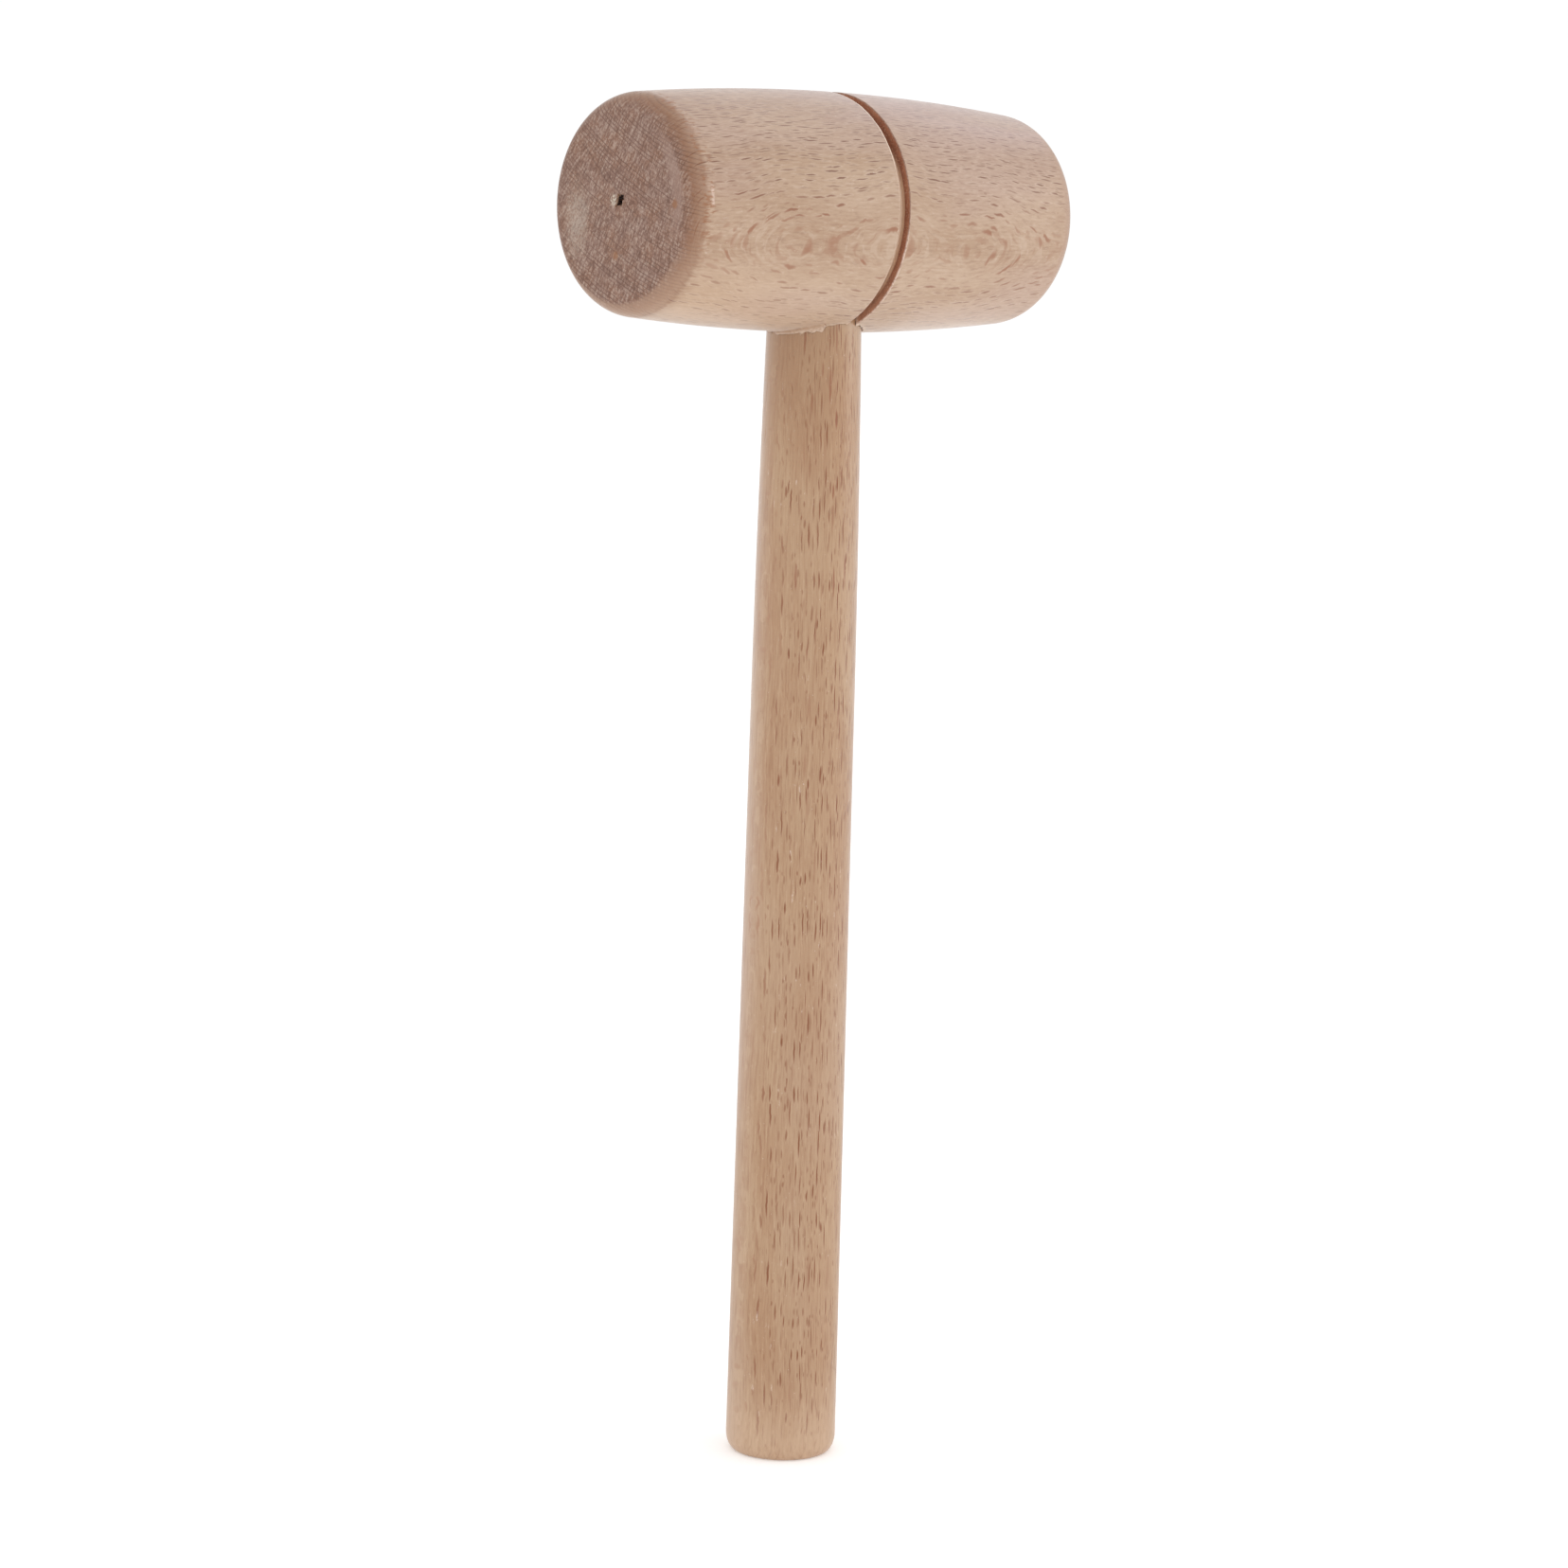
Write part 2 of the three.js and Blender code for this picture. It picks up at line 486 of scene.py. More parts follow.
def three_noises(tree, vector, scale):
    """Three numbers of smooth noise that don't follow one another, centred on 0.5."""
    return parts_of(tree, noise_node(tree, vector, scale, 1, 0.5).outputs["Color"])


def mix(tree, factor, first, second, blend="MIX"):
    """Mixes two colours, each an sRGB triple or a socket, by a factor."""
    node = tree.nodes.new("ShaderNodeMix")
    node.data_type = "RGBA"
    node.blend_type = blend
    feed(tree, node.inputs[0], factor)
    for index, colour in ((6, first), (7, second)):
        feed(tree, node.inputs[index], linear(colour) if isinstance(colour, tuple) else colour)
    return node.outputs[2]


def linear(srgb):
    """An 8-bit sRGB triple as the linear colour that shaders use."""
    channels = [value / 255 for value in srgb]
    curve = [c / 12.92 if c <= 0.04045 else ((c + 0.055) / 1.055) ** 2.4 for c in channels]
    return (*curve, 1.0)


# ---------------------------------------------------------------- beech

RING_WIDTH = 0.95  # mm
SPECK = (232, 218, 206)  # a pale dot of dust or bare fibre
SCUFF = (226, 206, 192)
END_ROUGHNESS = 0.75


class Rays:
    """A family of rays, which are flat spindles across the rings of the tree. Lengths are in mm."""

    def __init__(self, cell, length, thickness, depth, seed):
        self.cell = cell  # how far apart they stand: along, round and across the rings
        self.length = length  # the least and the greatest half length
        self.thickness = thickness  # the least and the greatest half thickness
        self.depth = depth  # half their size across the rings
        self.seed = seed


SHORT_RAYS = Rays(cell=(3.1, 0.9, 5), length=(0.6, 1.3), thickness=(0.1, 0.16), depth=2.1, seed=4)
BOLD_RAYS = Rays(cell=(15, 3, 7), length=(2, 4.8), thickness=(0.16, 0.27), depth=4.0, seed=6)
FLAKES = Rays(cell=(2.6, 0.8, 4.4), length=(0.4, 0.8), thickness=(0.1, 0.16), depth=1.9, seed=9)


def tall_rays(spacing, length, thickness):
    """The rays that show most, which differ from piece to piece."""
    return Rays(cell=(spacing, 1.15, 7), length=length, thickness=thickness, depth=4.0, seed=0)


class Beech:
    """How one piece was sawn from the log, and its looks. The head's are what it starts with.

    Lengths are in mm, colours are 8-bit sRGB, and a strength goes from 0 to 1.
    """

    def __init__(self, grain, outward, pith_distance, seed):
        self.grain = Vector(grain).normalized()
        self.outward = Vector(outward).normalized()  # from the pith of the tree to the piece
        self.sideways = self.grain.cross(self.outward)
        self.pith_distance = pith_distance
        self.seed = seed
        self.middle = Vector()  # the point that places are measured from, in metres
        self.wave_height = 0.3  # of the ray sheets, which wave along the grain
        self.wave_length = 34.0
        self.wave_crest = 0.0
        self.drift = 1.2  # of the sheets, from place to place

        self.tall_rays = tall_rays(spacing=4.8, length=(1.5, 2.7), thickness=(0.105, 0.17))
        self.tall_strength = (0.44, 0.93)  # of the faintest and the darkest
        self.short_strength = 0.42
        self.bold_strength = 0.0
        self.flake_strength = 0.65
        self.halo = 1.0  # how much paler the wood is round a tall ray
        self.streaks = 0.26
        self.fibre_length = 3.2
        self.scuffs = 0.12
        self.end_strength = 1.0  # of the browner colour near the cut ends

        self.pale = (186, 158, 134)
        self.deep = (174, 143, 117)
        self.rose = (180, 151, 137)
        self.fibre = (200, 177, 157)
        self.ray = (120, 78, 56)  # the end of a ray, on a surface that follows the rings
        self.fleck = (149, 98, 69)  # the side of a ray, on a surface that crosses the rings
        self.bold_ray = (132, 62, 20)
        self.burnt = (136, 92, 64)
        self.burnt_line = (106, 66, 44)
        self.end = (136, 106, 93)
        self.end_dark = (100, 70, 57)
        self.end_speck = (178, 155, 141)

        self.roughness = (0.48, 0.48)  # at 40 mm and at 240 mm along the grain
        self.specular = 0.5
        self.sheen = 0.42


class Place:
    """Where each point of a piece lies in its tree, in mm, and how its surface faces there."""

    def __init__(self, tree, wood):
        texture = tree.nodes.new("ShaderNodeTexCoord")
        millimetres = vector_math(tree, "MULTIPLY", texture.outputs["Object"], (1000, 1000, 1000)).outputs[0]
        centred = vector_math(tree, "SUBTRACT", millimetres, tuple(wood.middle / MM)).outputs[0]
        self.centred = parts_of(tree, centred)
        normal = texture.outputs["Normal"]
        along = dot(tree, centred, wood.grain)
        outward = dot(tree, centred, wood.outward)
        sideways = dot(tree, centred, wood.sideways)
        stretched = vector_of(tree, along * 0.7, outward * 0.3, sideways * 0.3 + wood.seed * 31.7)
        drift = three_noises(tree, stretched, 1 / 22)
        tilt = three_noises(tree, stretched, 1 / 1.6)
        wave = ((along - wood.wave_crest) * (2 * math.pi / wood.wave_length)).math("COSINE")
        sideways = sideways + wave * wood.wave_height + (drift[0] - 0.5) * wood.drift + (tilt[0] - 0.5) * 0.3
        outward = outward + (drift[1] - 0.5) * 3.0 + (tilt[1] - 0.5) * 0.3 + wood.pith_distance
        ring = (outward.squared() + sideways.squared()).math("SQRT")
        across = dot(tree, normal, wood.outward) * outward + dot(tree, normal, wood.sideways) * sideways
        self.along = along
        self.ring = ring
        self.arc = sideways.math("ARCTAN2", outward) * wood.pith_distance
        self.end_facing = dot(tree, normal, wood.grain).math("ABSOLUTE")  # 1 on a cut end
        self.ring_facing = (across / ring).math("ABSOLUTE")  # 1 where the surface follows the rings

    def scaled(self, along, arc, ring, shift=0.0):
        """The place as a vector: a small number stretches a noise in that direction."""
        return vector_of(self.along.tree, self.along * along + shift, self.arc * arc, self.ring * ring)


def ray_layer(tree, at, rays, seed):
    """The distance from the nearest ray, in half sizes squared, and a random number for each ray.

    There is one ray in each cell. They are thinner where the surface crosses the rings, so that
    their sides don't show too large.
    """
    cell = rays.cell
    seed = seed + rays.seed
    point = vector_of(tree, at.along / cell[0] + seed * 7.3, at.arc / cell[1] + seed * 3.9, at.ring / cell[2])
    cells = tree.nodes.new("ShaderNodeTexVoronoi")
    cells.inputs["Scale"].default_value = 1
    cells.inputs["Randomness"].default_value = 0.85
    feed(tree, cells.inputs["Vector"], point)
    offset = parts_of(tree, vector_math(tree, "SUBTRACT", point, cells.outputs["Position"]).outputs[0])
    chance = parts_of(tree, cells.outputs["Color"])
    half_length = chance[0].ramp(0, 1, *rays.length)
    half_thickness = chance[1].ramp(0, 1, *rays.thickness) * at.ring_facing.ramp(0.05, 0.9, 0.7, 1.25)
    reach = (offset[0] * cell[0] / half_length).squared()
    reach = reach + (offset[1] * cell[1] / half_thickness).squared()
    reach = reach + (offset[2] * (cell[2] / rays.depth)).squared()
    return reach, chance[2]


def side_grain(tree, wood, at):
    """The colour of planed and turned surfaces, and how far each point sinks or stands."""
    broad = noise_at(tree, at.scaled(0.25, 1, 1), 1 / 9, detail=3)
    blush = noise_at(tree, at.scaled(0.3, 1, 1, 90), 1 / 22, detail=2)
    colour = mix(tree, broad.ramp(0.3, 0.7), wood.deep, wood.pale)
    colour = mix(tree, blush.ramp(0.42, 0.66) * 0.6, colour, wood.rose)

    wander = noise_at(tree, at.scaled(0.15, 1, 1), 1 / 3, detail=2)
    phase = (at.ring / RING_WIDTH + wander * 0.9).math("FRACT")
    latewood = phase.ramp(0.35, 0.9) * phase.ramp(1.0, 0.93)
    colour = mix(tree, latewood * at.end_facing.ramp(0.1, 0.5, 0.06, 0.35), colour, wood.ray)

    streak = noise_at(tree, at.scaled(0.3 / wood.fibre_length, 1, 0.5), 3.2, detail=3, roughness=0.6)
    colour = mix(tree, streak.ramp(0.5, 0.72) * wood.streaks, colour, wood.ray)
    colour = mix(tree, streak.ramp(0.48, 0.28) * 0.42, colour, wood.fibre)
    sheets = noise_at(tree, at.scaled(0.02, 1, 0.03), 6, detail=1)
    faint = at.ring_facing.ramp(0.28, 0.04)
    colour = mix(tree, sheets.ramp(0.55, 0.66) * faint * 0.36, colour, wood.fleck)
    colour = mix(tree, sheets.ramp(0.45, 0.36) * faint * 0.32, colour, wood.fibre)
    flake, flake_chance = ray_layer(tree, at, FLAKES, wood.seed)
    cluster = noise_at(tree, at.scaled(1, 0, 0), 1 / 7, detail=1)
    flakes = flake.ramp(1.3, 0.3) * flake_chance.ramp(0.2, 0.8, 0.1, 1) * at.ring_facing.ramp(0.16, 0.08)
    colour = mix(tree, flakes * cluster.ramp(0.47, 0.58) * wood.flake_strength, colour, wood.fleck)

    tall, tall_chance = ray_layer(tree, at, wood.tall_rays, wood.seed)
    short, short_chance = ray_layer(tree, at, SHORT_RAYS, wood.seed)
    across = at.ring_facing.ramp(0.1, 0.6)
    dark = mix(tree, across, wood.fleck, wood.ray)
    halo = tall.ramp(3.2, 1.4) * tall_chance.ramp(0, 0.6, 0.15, 0.4) * across * wood.halo
    colour = mix(tree, halo, colour, wood.fibre)
    tall_rays = tall.ramp(1.5, 0.1) * tall_chance.ramp(0, 0.8, *wood.tall_strength)
    short_rays = short.ramp(1.5, 0.1) * short_chance.ramp(0.2, 1, 0, wood.short_strength)
    rays = tall_rays.math("MAXIMUM", short_rays)
    colour = mix(tree, rays, colour, dark)
    bold, bold_chance = ray_layer(tree, at, BOLD_RAYS, wood.seed)
    bold_rays = bold.ramp(1.5, 0.2) * bold_chance.ramp(0.3, 0.8, 0.2, 1) * across
    bold_rays = bold_rays * at.along.ramp(150, 270, 0.25, 1) * wood.bold_strength
    colour = mix(tree, bold_rays, colour, wood.bold_ray)

    speck = noise_at(tree, at.scaled(0.5, 1, 1), 2.2, detail=2)
    colour = mix(tree, speck.ramp(0.72, 0.78) * 0.4, colour, SPECK)
    scuff = noise_at(tree, at.scaled(0.2, 1, 1, 130), 0.9, detail=4, roughness=0.7)
    colour = mix(tree, scuff.ramp(0.66, 0.74) * wood.scuffs, colour, SCUFF)
    height = streak * 0.3 - rays * 0.9
    return colour, height


def growth_lines(tree, at, cloud):
    """1 on the dark line that ends each year's growth, and how strong the lines are there."""
    phase = (at.ring / RING_WIDTH + cloud * 0.8).math("FRACT")
    strong = noise_at(tree, at.scaled(0.02, 0.04, 1), 0.55, detail=1)
    return phase.ramp(0.55, 0.95) * phase.ramp(1.0, 0.96), strong


def end_grain(tree, wood, at, cloud, late, strong):
    """The colour of the cut ends, and how far each point sinks or stands."""
    lines = noise_at(tree, at.scaled(0.3, 1, 0.22), 2.1, detail=2, roughness=0.6)
    dots = noise_at(tree, at.scaled(0.4, 1, 0.8, 40), 2.3, detail=2, roughness=0.7)
    speckle = lines * 0.55 + dots * 0.45
    mottle = noise_at(tree, at.scaled(0.3, 1, 1, 60), 1 / 1.8, detail=2)
    colour = mix(tree, cloud.ramp(0.35, 0.7) * 0.5, wood.end, wood.burnt)
    colour = mix(tree, mottle.ramp(0.55, 0.72) * 0.45, colour, wood.end_speck)
    colour = mix(tree, mottle.ramp(0.46, 0.3) * 0.4, colour, wood.end_dark)
    colour = mix(tree, speckle.ramp(0.5, 0.62) * 0.7, colour, wood.end_speck)
    colour = mix(tree, speckle.ramp(0.49, 0.38) * 0.75, colour, wood.end_dark)
    colour = mix(tree, late * strong.ramp(0.4, 0.62, 0.2, 0.85), colour, wood.end_dark)
    return colour, speckle - late * 0.15


def beech_material(name, wood, details):
    """Beech all over a piece. details takes and returns a colour, for what only that piece has."""
    material = bpy.data.materials.new(name)
    material.use_nodes = True
    tree = material.node_tree
    shader = tree.nodes["Principled BSDF"]
    at = Place(tree, wood)
    cloud = noise_at(tree, at.scaled(1, 1, 1), 1 / 6, detail=3)
    late, strong = growth_lines(tree, at, cloud)
    side, side_height = side_grain(tree, wood, at)
    end, end_height = end_grain(tree, wood, at, cloud, late, strong)

    ragged = noise_at(tree, at.scaled(0.14, 1, 1), 1.2, detail=3, roughness=0.65)
    edge = at.end_facing + (ragged - 0.5) * 0.5
    burn = (edge.ramp(0.05, 0.28) * 0.62 + edge.ramp(0.3, 0.65) * 0.38) * ragged.ramp(0.3, 0.6, 1, 0.75)
    burnt = mix(tree, late * strong.ramp(0.35, 0.6, 0.25, 0.8), wood.burnt, wood.burnt_line)
    colour = mix(tree, burn * wood.end_strength, side, burnt)
    cut = edge.ramp(0.5, 1.05)  # 1 on a cut end
    colour = mix(tree, cut, colour, end)
    feed(tree, shader.inputs["Base Color"], details(tree, at, colour))

    side_roughness = at.along.ramp(40, 240, *wood.roughness)
    feed(tree, shader.inputs["Roughness"], cut.ramp(0, 1, side_roughness, END_ROUGHNESS))
    shader.inputs["Specular IOR Level"].default_value = wood.specular
    shader.inputs["Sheen Weight"].default_value = wood.sheen
    shader.inputs["Sheen Roughness"].default_value = 0.25
    bump = tree.nodes.new("ShaderNodeBump")
    bump.inputs["Strength"].default_value = 0.4
    bump.inputs["Distance"].default_value = 0.15 * MM
    feed(tree, bump.inputs["Height"], side_height * cut.ramp(1, 0) + end_height * cut * 2.0)
    tree.links.new(bump.outputs["Normal"], shader.inputs["Normal"])
    return material


# ---------------------------------------------------------------- what is painted on the head

class OnHead:
    """Where each point of the head lies, in mm from its middle, and two noises for its marks."""

    def __init__(self, tree, at):
        self.x, self.y, self.z = at.centred
        self.radius = (self.y.squared() + self.z.squared()).math("SQRT")
        self.fine = noise_at(tree, vector_of(tree, self.x, self.y, self.z), 1.6, detail=2)
        self.soft = noise_at(tree, vector_of(tree, self.x, self.y, self.z), 1 / 3, detail=2)
        self.near_face = self.x.ramp(-FACE_X / MM + 4, -FACE_X / MM + 2)
        self.to_edge = self.x + EDGE_X / MM  # from where the barrel meets its near rounded edge
        curve = (BARREL_END_RADIUS - HEAD_RADIUS) / EDGE_X**2 * MM
        self.inset = (self.x * self.x * curve + HEAD_RADIUS / MM) - self.radius  # below the barrel

    def spot(self, y, z, width, height, ragged, blur):
        """1 inside an ellipse on the near face, with a ragged outline, and 0 outside."""
        across = (self.y - y) / width
        up = (self.z - z) / height
        reach = (across.squared() + up.squared()).math("SQRT") + (ragged - 0.5) * 1.2
        return reach.ramp(1 + blur, 1 - blur) * self.near_face


def paint_groove(tree, at, on, colour):
    """The groove's burnt walls, darker towards the floor with painted shade, their paler foot, its floor, and
    its pale lips, partly rubbed and partly painted highlight.
    """
    from_groove = on.x - GROOVE_OFFSET / MM
    half = GROOVE_WIDTH / MM / 2
    inside = band(from_groove, -half - 0.1, half + 0.1, 0.05) * on.inset.ramp(0.1, 0.4)
    wall = inside * at.end_facing.ramp(0.3, 0.8)
    scorched_and_shaded = mix(tree, on.soft.ramp(0.3, 0.7), (152, 96, 69), (172, 116, 86))
    # Painted shade: the burnt walls darken towards the floor.
    scorched_and_shaded = mix(tree, on.inset.ramp(0.6, 2.2) * 0.5, scorched_and_shaded, (108, 62, 42))
    fuzz = noise_at(tree, vector_of(tree, on.x, on.y, on.z), 3.2, detail=2)
    scorched_and_shaded = mix(tree, fuzz.ramp(0.58, 0.68) * 0.45, scorched_and_shaded, (214, 176, 150))
    colour = mix(tree, wall, colour, scorched_and_shaded)
    foot = wall * on.inset.ramp(1.8, 2.3) * on.z.ramp(17, 6) * on.z.ramp(-24, -14)
    colour = mix(tree, foot * 0.8, colour, (220, 189, 160))
    bottom = inside * at.end_facing.ramp(0.5, 0.2) * on.inset.ramp(1, 2)
    colour = mix(tree, bottom, colour, (222, 194, 168))

    corner = on.inset.ramp(0.5, 0.2)
    # Partly rubbed edge fibres, partly painted highlight: the pale lips, the near one stronger higher up, the
    # far one lower down.
    near_lip_wear_and_highlight = band(from_groove, -half - 0.32, -half + 0.12, 0.1) * corner
    near_lip_wear_and_highlight = near_lip_wear_and_highlight * on.fine.ramp(0.3, 0.5, 0.5, 1.0) * on.z.ramp(0, 24, 0.15, 1)
    colour = mix(tree, near_lip_wear_and_highlight, colour, (246, 222, 200))
    far_lip_wear_and_highlight = band(from_groove, half - 0.1, half + 0.25, 0.1) * corner
    far_lip_wear_and_highlight = far_lip_wear_and_highlight * on.fine.ramp(0.3, 0.6, 0.2, 0.8) * on.z.ramp(4, -16, 0.2, 1)
    return mix(tree, far_lip_wear_and_highlight, colour, (232, 206, 190))


def paint_barrel(tree, at, on, colour):
    """Paler and darker places of the barrel and its rounded edges, and the marks at the near one; most paler
    ones are painted light.
    """
    # Painted highlight: a pale strip on the front upper part of the near face, where its flat meets the
    # rounded edge.
    painted_face_edge_highlight = band(on.radius, 20.5, 22.3, 1.5) * on.near_face * on.y.ramp(-10, -20) * on.z.ramp(-12, 0)
    colour = mix(tree, painted_face_edge_highlight * 0.55, colour, (154, 126, 113))
    # Painted light: the barrel is paler low on its front, more towards the near face.
    low_front_painted_light = on.z.ramp(-8, -22) * on.y.ramp(2, -12) * on.x.ramp(10, -EDGE_X / MM, 0.12, 0.42)
    colour = mix(tree, low_front_painted_light * on.to_edge.ramp(-2, 4), colour, (208, 179, 152))

    # Added light on the top and under the far half, for the pale haze along the outlines there.
    turned = at.end_facing.ramp(0.4, 0.12)
    top = on.z.ramp(13, 28) * on.x.ramp(-20, 50, 0.6, 1.6) * turned
    colour = mix(tree, top, colour, (74, 78, 92), "ADD")
    under = on.z.ramp(-20, -29) * band(on.x, 25, 44, 16) * on.y.ramp(6, -6) * turned
    colour = mix(tree, under, colour, (72, 76, 82), "ADD")

    low_rim = at.end_facing.ramp(0.15, 0.4) * at.end_facing.ramp(0.98, 0.85) * on.z.ramp(-6, -22)
    colour = mix(tree, low_rim * 0.4, colour, (180, 149, 126))
    # Painted light: the far rounded edge is made paler, for the pale haze along the outline there.
    far_rim_painted_light = at.end_facing.ramp(0.04, 0.2) * at.end_facing.ramp(0.8, 0.45) * on.x.ramp(0, 30)
    colour = mix(tree, far_rim_painted_light * 0.45, colour, (190, 160, 138))

    # Painted highlight: a pale line on the front of the barrel where it meets the near rounded edge, at mid
    # height.
    painted_light = band(on.to_edge, 0.5, 0.9, 0.4) * band(on.z, 0.5, 4, 1.5) * on.y.ramp(-12, -22) * on.x.ramp(0, -10)
    colour = mix(tree, painted_light * on.fine.ramp(0.3, 0.6, 0.3, 0.6), colour, (224, 199, 183))
    streak = noise_at(tree, at.scaled(0.25, 1, 1, 17), 1.5, detail=3, roughness=0.6)
    fringe = streak.ramp(0.5, 0.62) * band(on.to_edge, -1.2, 0.6, 1.6) * on.z.ramp(-16, -2, 0.2, 1)
    return mix(tree, fringe * 0.7, colour, (146, 94, 58))


def paint_near_face(tree, on, colour):
    """Two fine cracks, a dusty patch, two stains and the fibres torn beside the lathe's mark."""
    for offset, first, last in ((-1.75, -8, 10), (-0.4, 8, 19)):
        off_line = on.y * 0.7 - on.z * 0.71 + (on.fine - 0.5) * 0.8 - offset
        crack = off_line.math("ABSOLUTE").ramp(0.28, 0.08) * on.near_face
        crack = crack * band(on.y * 0.71 + on.z * 0.7, first, last, 2)
        colour = mix(tree, crack * 0.5, colour, (88, 58, 46))
    dust = on.spot(16, -4, 3.6, 6.6, on.soft, 0.8) * on.fine.ramp(0.3, 0.6, 0.15, 0.5)
    colour = mix(tree, dust, colour, (186, 172, 158))
    for y, z in ((-20.4, 0.2), (1, -12.3)):
        colour = mix(tree, on.spot(y, z, 0.9, 1.1, on.fine, 0.4) * 0.7, colour, (142, 94, 58))
    torn = on.spot(2.2, MARK_RISE / MM + 0.1, 1.2, 1.5, on.fine, 0.2) * on.fine.ramp(0.45, 0.6)
    return mix(tree, torn * 0.9, colour, (208, 198, 180))


def paint_bore_and_pits(tree, on, colour):
    """The frayed rim of the bore's mouth, and the pits in both faces, darkened with dirt and painted shade.
    """
    from_bore = ((on.x + HEAD_MIDDLE / MM).squared() + on.y.squared()).math("SQRT")
    frayed = from_bore.ramp(13.6, 12.4) * on.z.ramp(-20, -24) * on.fine.ramp(0.35, 0.55, 0.3, 0.8)
    colour = mix(tree, frayed * 0.55, colour, (226, 204, 182))
    # Dirt and painted shade: the pits are darkened where they sink below the face.
    sunk = on.x.math("ABSOLUTE").ramp(FACE_X / MM - 0.25, FACE_X / MM - 0.6)
    dark = mix(tree, on.fine.ramp(0.45, 0.65), (30, 17, 13), (84, 52, 38))
    return mix(tree, on.radius.ramp(3.4, 3.0) * sunk, colour, dark)


def head_details(tree, at, colour):
    """What only the head has."""
    on = OnHead(tree, at)
    colour = paint_groove(tree, at, on, colour)
    colour = paint_barrel(tree, at, on, colour)
    colour = paint_near_face(tree, on, colour)
    return paint_bore_and_pits(tree, on, colour)


# ---------------------------------------------------------------- what is painted on the handle

PAINTED_LIGHT_SIDE = (-0.737, 0.675)  # x and y of the direction in which the handle is faintly paler, by painted light


def handle_details(tree, at, colour):
    """Painted light on a paler butt and on a faintly paler side, and painted shade with some dirt under the
    head.
    """
    x, y, z = at.centred
    fine = noise_at(tree, at.scaled(0.4, 1, 1, 50), 1.2, detail=2)
    # Painted light: the butt grows paler towards the floor, as if lit from below.
    painted_light = z.ramp(25, 1) * fine.ramp(0.25, 0.6, 0.7, 1)
    colour = mix(tree, painted_light * 0.45, colour, (212, 182, 154))
    # Painted light: the side of the handle towards this direction is faintly paler, more so higher up.
    across = (x * PAINTED_LIGHT_SIDE[0] + y * PAINTED_LIGHT_SIDE[1]) / (BUTT_RADIUS / MM)
    pale = across.ramp(0.55, 1) * z.ramp(60, 160, 0.1, 0.2)
    colour = mix(tree, pale, colour, (206, 184, 172))
    # Painted shade with some dirt: darker just under the head, on the half towards the paler side, less at
    # its outermost edge.
    shaded = z.ramp(HEAD_FOOT / MM - 45, HEAD_FOOT / MM - 5)
    shaded = shaded * across.ramp(-0.6, 0) * across.ramp(1, 0.7, 0.3, 1)
    return mix(tree, shaded * 0.45, colour, (152, 111, 74))


# ---------------------------------------------------------------- the wood of each piece

def head_wood():
    wood = Beech(grain=(1, 0, 0), outward=(0, 0.462, -0.887), pith_distance=150, seed=1)
    wood.middle = Vector((HEAD_MIDDLE, 0, HEAD_AXIS))
    wood.wave_crest = -19.0
    return beech_material("head_beech", wood, head_details)


def handle_wood():
    wood = Beech(grain=(0, 0, 1), outward=(0.044, -0.999, 0), pith_distance=90, seed=2)
    wood.wave_height = 0.08
    wood.drift = 0.6
    wood.tall_rays = tall_rays(spacing=8.2, length=(1.5, 3.9), thickness=(0.09, 0.175))
    wood.tall_strength = (0.4, 1.0)
    wood.short_strength = 0.65
    wood.bold_strength = 0.85
    wood.flake_strength = 0.3
    wood.halo = 0.3
    wood.streaks = 0.36
    wood.fibre_length = 8.0
    wood.scuffs = 0.5
    wood.end_strength = 0.1
    wood.pale = (179, 145, 112)
    wood.deep = (169, 130, 96)
    wood.rose = (177, 143, 115)
    wood.fibre = (197, 166, 134)
    wood.ray = (126, 66, 16)
    wood.fleck = (166, 122, 90)
    wood.end = (178, 146, 118)
    wood.end_dark = (150, 112, 84)
    wood.roughness = (0.52, 0.32)
    wood.specular = 0.7
    return beech_material("handle_beech", wood, handle_details)


# ---------------------------------------------------------------- the studio

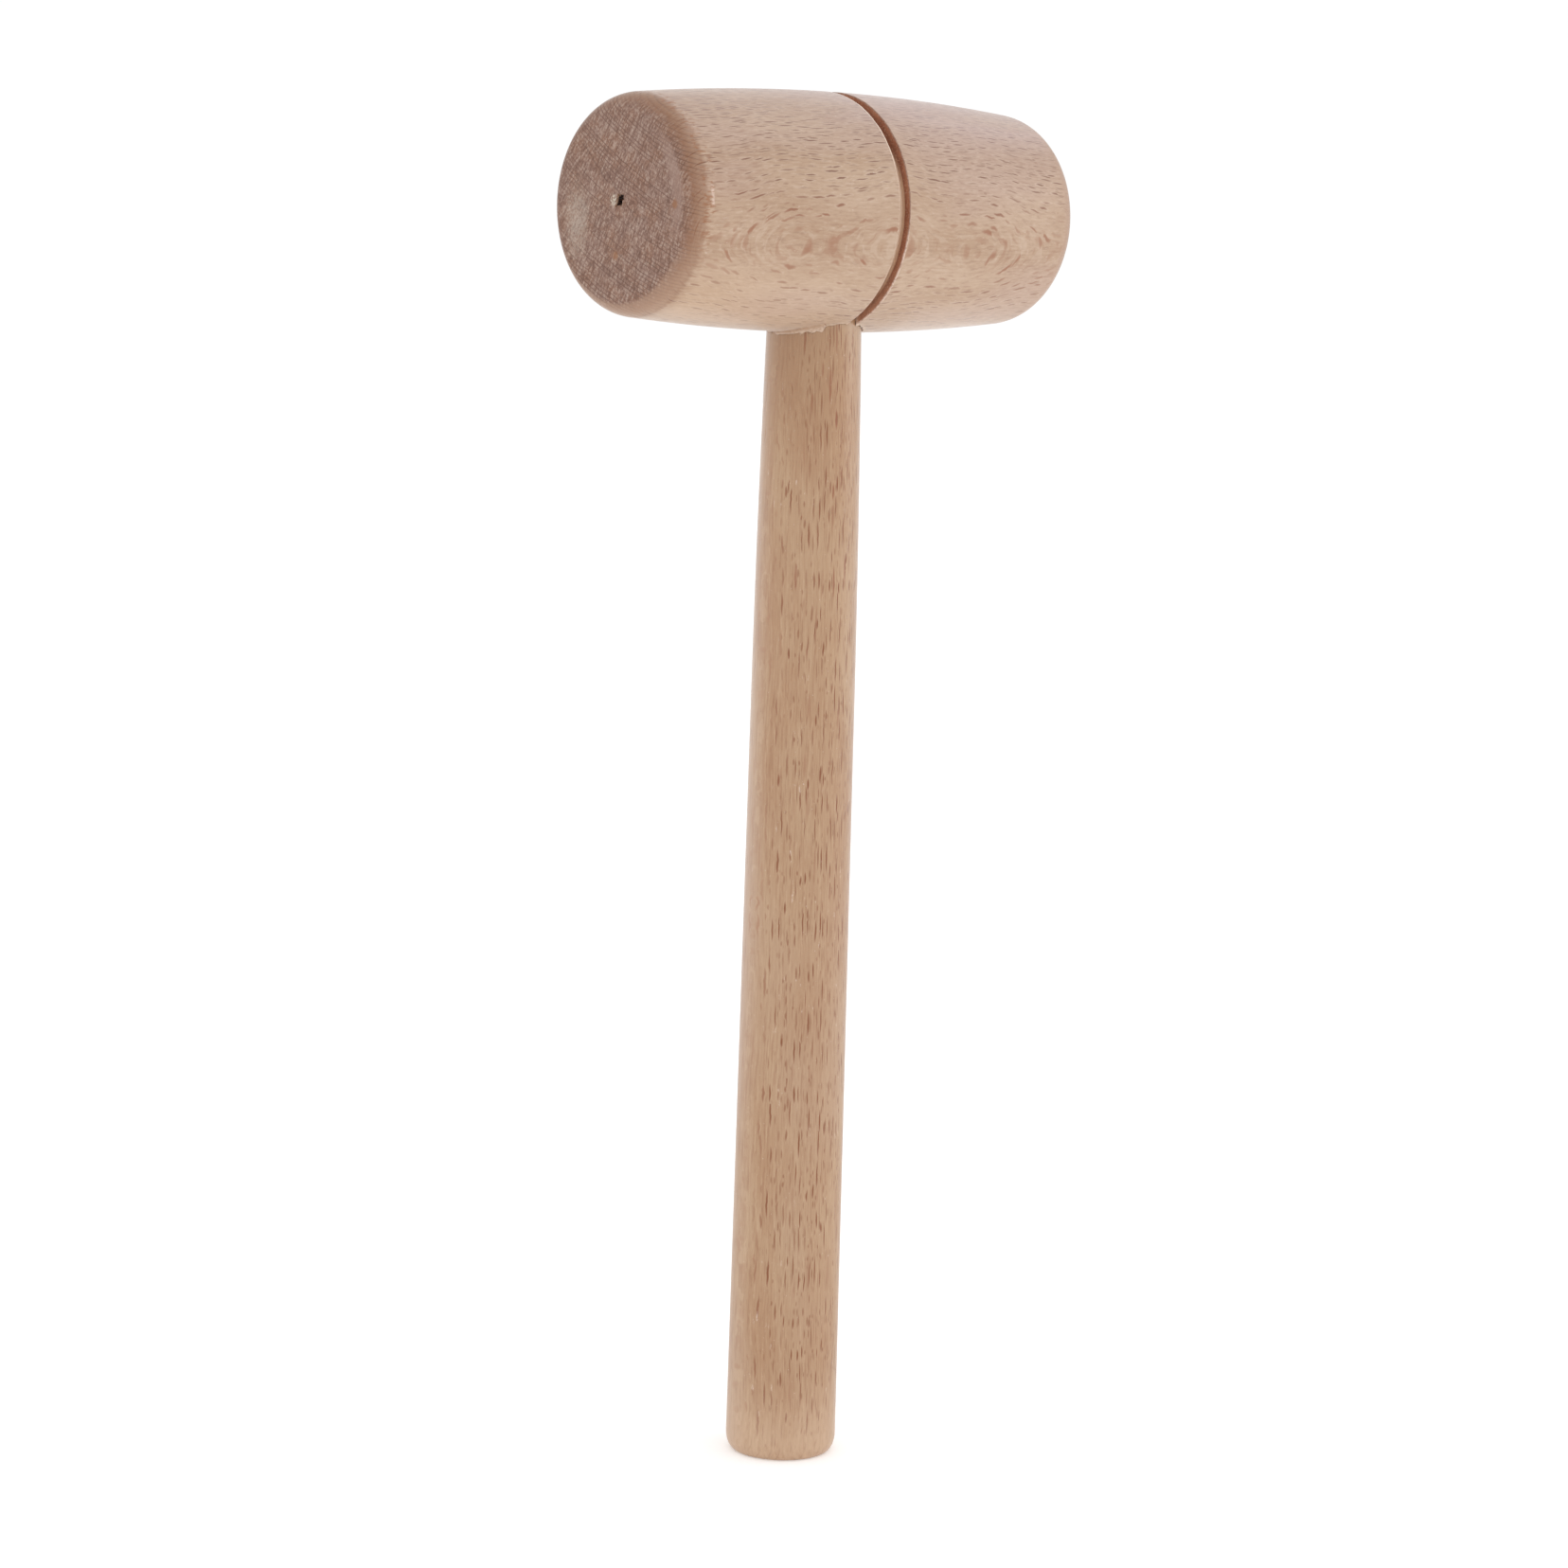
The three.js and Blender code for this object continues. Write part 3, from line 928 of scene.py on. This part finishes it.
def set_camera():
    """The photograph's view: of the near face and the front, from the head's height, tilted down."""
    azimuth = math.radians(-42.487)
    elevation = math.radians(7.299)
    roll = math.radians(1.719)
    distance = 1.0345
    aim = Vector((-0.00303, 0.00277, 0.17418))
    level = math.cos(elevation)
    back = Vector((math.sin(azimuth) * level, -math.cos(azimuth) * level, math.sin(elevation)))
    right = Vector((math.cos(azimuth), math.sin(azimuth), 0))
    up = back.cross(right)
    rolled_right = right * math.cos(roll) + up * math.sin(roll)
    rolled_up = up * math.cos(roll) - right * math.sin(roll)
    data = bpy.data.cameras.new("camera")
    data.sensor_width = 36
    data.lens = 93.03
    data.clip_start = 0.01
    data.clip_end = 50
    camera = bpy.data.objects.new("camera", data)
    turn = Matrix((rolled_right, rolled_up, back)).transposed().to_4x4()
    camera.matrix_world = Matrix.Translation(aim + back * distance) @ turn
    bpy.context.scene.collection.objects.link(camera)
    bpy.context.scene.camera = camera


def set_floor():
    """A pale round floor, wide enough to reach past every view, which glows a little."""
    work = bmesh.new()
    bmesh.ops.create_circle(work, cap_ends=True, segments=96, radius=8)
    mesh = bpy.data.meshes.new("floor")
    work.to_mesh(mesh)
    work.free()
    surface = bpy.data.objects.new("floor", mesh)
    bpy.context.scene.collection.objects.link(surface)
    material = bpy.data.materials.new("floor_paper")
    material.use_nodes = True
    shader = material.node_tree.nodes["Principled BSDF"]
    shader.inputs["Base Color"].default_value = (0.93, 0.93, 0.93, 1)
    shader.inputs["Roughness"].default_value = 0.9
    shader.inputs["Specular IOR Level"].default_value = 0.1
    shader.inputs["Emission Color"].default_value = (1, 1, 1, 1)
    shader.inputs["Emission Strength"].default_value = 0.22
    mesh.materials.append(material)


def soft_light(name, position, size, power):
    """A square softbox that faces the mallet."""
    data = bpy.data.lights.new(name, "AREA")
    data.size = size
    data.energy = power
    light = bpy.data.objects.new(name, data)
    light.location = position
    aim = Vector((0, 0, 0.2)) - Vector(position)
    light.rotation_euler = aim.to_track_quat("-Z", "Y").to_euler()
    bpy.context.scene.collection.objects.link(light)


def set_light():
    """An even white tent with a weak softbox on the right."""
    world = bpy.data.worlds.new("studio")
    world.use_nodes = True
    background = world.node_tree.nodes["Background"]
    background.inputs["Color"].default_value = (1, 1, 1, 1)
    background.inputs["Strength"].default_value = 1.02
    bpy.context.scene.world = world
    soft_light("side", (1.5, -0.9, 0.7), 1.0, 4)
    bpy.context.scene.view_settings.view_transform = "Standard"


# ---------------------------------------------------------------- putting it together

def put(piece, material, node):
    """Gives a piece its material, and has it stand for the frame's plain solid."""
    piece.data.materials.clear()
    piece.data.materials.append(material)
    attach(piece, "root")
    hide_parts(node)


set_camera()
set_light()
set_floor()
put(build_head(), head_wood(), "head")
put(build_handle(), handle_wood(), "handle")
